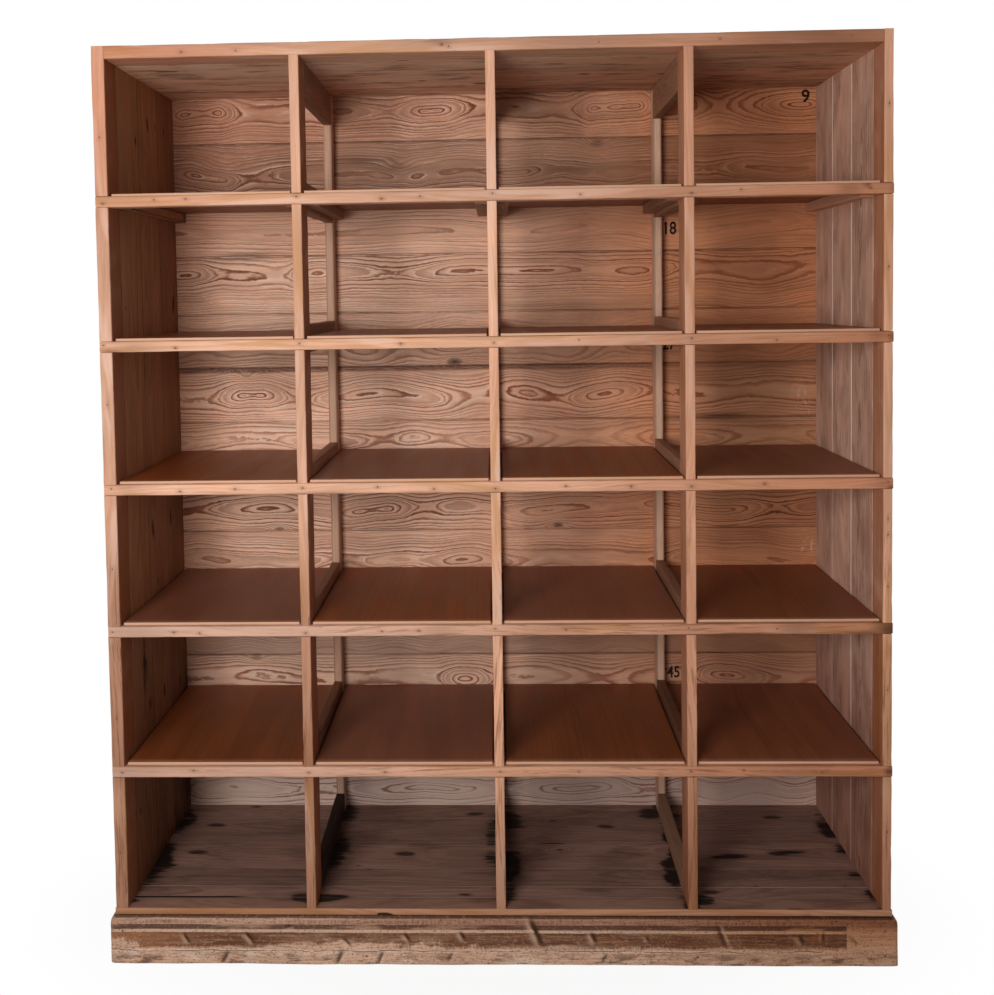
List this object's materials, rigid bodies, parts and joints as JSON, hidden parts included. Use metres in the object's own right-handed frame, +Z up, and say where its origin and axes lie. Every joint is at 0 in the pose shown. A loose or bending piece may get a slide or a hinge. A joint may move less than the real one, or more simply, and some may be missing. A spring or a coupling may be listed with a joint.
{
  "type": "pigeonhole mail sorter",
  "caption": "Tall open pine case of square pigeonholes with thin shelf panels, a slim post and rail front, open divider frames, boarded back and sides, and a moulded plinth.",
  "frame": {"origin": "on the ground, under the middle of the overall box", "axes": "+X to the right seen from the front, +Y from the front to the wall behind, +Z up"},
  "size_m": [1.766, 0.528, 2.0585],
  "materials": {
    "front_frame": "planed pine, worn satin wax",
    "divider_frame": "pine, darkened, matt",
    "shelf_panel": "thin veneered board, satin varnish",
    "case_boards": "tongued pine boards, old wax, matt",
    "floor_boards": "pine boards, dirty and dark, matt",
    "plinth": "moulded pine, scuffed, matt"
  },
  "bodies": {
    "root": {"back_boards": "case_boards", "back_post_with_head_1": "divider_frame", "back_post_with_head_2": "divider_frame", "back_post_with_head_3": "divider_frame", "divider_rail_1_1": "divider_frame", "divider_rail_1_2": "divider_frame", "divider_rail_1_3": "divider_frame", "divider_rail_1_4": "divider_frame", "divider_rail_1_5": "divider_frame", "divider_rail_2_1": "divider_frame", "divider_rail_2_2": "divider_frame", "divider_rail_2_3": "divider_frame", "divider_rail_2_4": "divider_frame", "divider_rail_2_5": "divider_frame", "divider_rail_3_1": "divider_frame", "divider_rail_3_2": "divider_frame", "divider_rail_3_3": "divider_frame", "divider_rail_3_4": "divider_frame", "divider_rail_3_5": "divider_frame", "divider_sill_1": "divider_frame", "divider_sill_2": "divider_frame", "divider_sill_3": "divider_frame", "floor_boards": "floor_boards", "front_post_1": "front_frame", "front_post_2": "front_frame", "front_post_3": "front_frame", "plinth_front": "plinth", "plinth_left": "plinth", "plinth_right": "plinth", "shelf_panel_1_1": "shelf_panel", "shelf_panel_1_2": "shelf_panel", "shelf_panel_1_3": "shelf_panel", "shelf_panel_1_4": "shelf_panel", "shelf_panel_2_1": "shelf_panel", "shelf_panel_2_2": "shelf_panel", "shelf_panel_2_3": "shelf_panel", "shelf_panel_2_4": "shelf_panel", "shelf_panel_3_1": "shelf_panel", "shelf_panel_3_2": "shelf_panel", "shelf_panel_3_3": "shelf_panel", "shelf_panel_3_4": "shelf_panel", "shelf_panel_4_1": "shelf_panel", "shelf_panel_4_2": "shelf_panel", "shelf_panel_4_3": "shelf_panel", "shelf_panel_4_4": "shelf_panel", "shelf_panel_5_1": "shelf_panel", "shelf_panel_5_2": "shelf_panel", "shelf_panel_5_3": "shelf_panel", "shelf_panel_5_4": "shelf_panel", "shelf_rail_1": "front_frame", "shelf_rail_2": "front_frame", "shelf_rail_3": "front_frame", "shelf_rail_4": "front_frame", "shelf_rail_5": "front_frame", "side_boards_left": "case_boards", "side_boards_right": "case_boards", "stile_left": "front_frame", "stile_right": "front_frame", "top_boards": "case_boards", "top_rail": "front_frame"}
  },
  "joints": []
}
